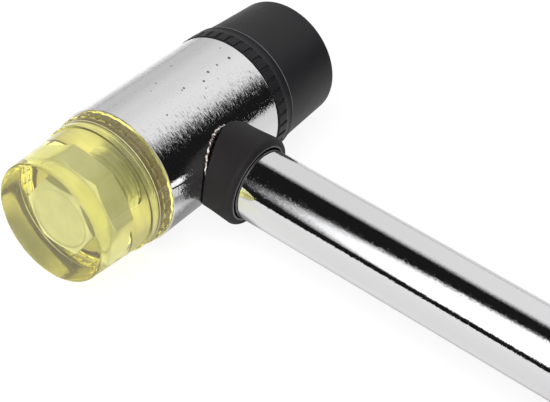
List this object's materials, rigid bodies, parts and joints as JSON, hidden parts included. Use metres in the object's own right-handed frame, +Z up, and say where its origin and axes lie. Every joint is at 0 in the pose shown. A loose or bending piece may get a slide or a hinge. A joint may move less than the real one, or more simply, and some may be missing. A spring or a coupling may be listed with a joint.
{
  "type": "dead blow mallet",
  "caption": "Dead blow mallet with a plated steel tube head, a clear yellow and a black screw-in face, loose shot inside, and a gripped tube handle.",
  "frame": {"origin": "middle of the mallet's footprint, on the surface that it lies on", "axes": "+X along the head towards the black face, +Y from the grip towards the head, +Z up from the surface"},
  "size_m": [0.0894, 0.2826, 0.0353],
  "materials": {
    "plated_steel": "bright nickel and chrome plate",
    "machined_steel": "turned",
    "dark_steel": "blackened",
    "clear_yellow_plastic": "clear, gloss",
    "black_rubber": "satin moulded rubber",
    "black_plastic": "fine matt moulding",
    "grip_rubber": "matt moulded rubber"
  },
  "bodies": {
    "head_and_handle": {"head_tube": "plated_steel", "yellow_side_plug": "machined_steel", "black_side_plug": "machined_steel", "handle_tube": "plated_steel", "weld_bead": "plated_steel", "collar": "black_plastic", "handle_end_plug": "machined_steel", "grip": "grip_rubber"},
    "shot": {"shot_charge": "machined_steel"},
    "yellow_washer": {"yellow_lock_washer": "dark_steel"},
    "yellow_striker": {"yellow_face": "clear_yellow_plastic", "yellow_face_bolt": "plated_steel", "yellow_backing_washer": "machined_steel"},
    "black_washer": {"black_lock_washer": "dark_steel"},
    "black_striker": {"black_face": "black_rubber", "black_face_bolt": "plated_steel", "black_backing_washer": "machined_steel"}
  },
  "joints": [
    {"name": "shot_travel", "type": "slide", "parent": "head_and_handle", "child": "shot", "axis": [1, 0, 0], "range_m": [-0.0025, 0.0025]},
    {"name": "yellow_face_advance", "type": "slide", "parent": "head_and_handle", "child": "yellow_washer", "axis": [-1, 0, 0], "range_m": [0, 0.006]},
    {"name": "yellow_face_unscrew", "type": "hinge", "parent": "yellow_washer", "child": "yellow_striker", "pos_m": [-0.0214, 0.12367, 0.01765], "axis": [-1, 0, 0], "range_deg": [0, 1440]},
    {"name": "black_face_advance", "type": "slide", "parent": "head_and_handle", "child": "black_washer", "axis": [1, 0, 0], "range_m": [0, 0.006]},
    {"name": "black_face_unscrew", "type": "hinge", "parent": "black_washer", "child": "black_striker", "pos_m": [0.0176, 0.12367, 0.01765], "axis": [1, 0, 0], "range_deg": [0, 1440]}
  ],
  "couplings": [
    {"joint": "yellow_face_advance", "follows": "yellow_face_unscrew", "m_per_rad": 0.00023873},
    {"joint": "black_face_advance", "follows": "black_face_unscrew", "m_per_rad": 0.00023873}
  ]
}
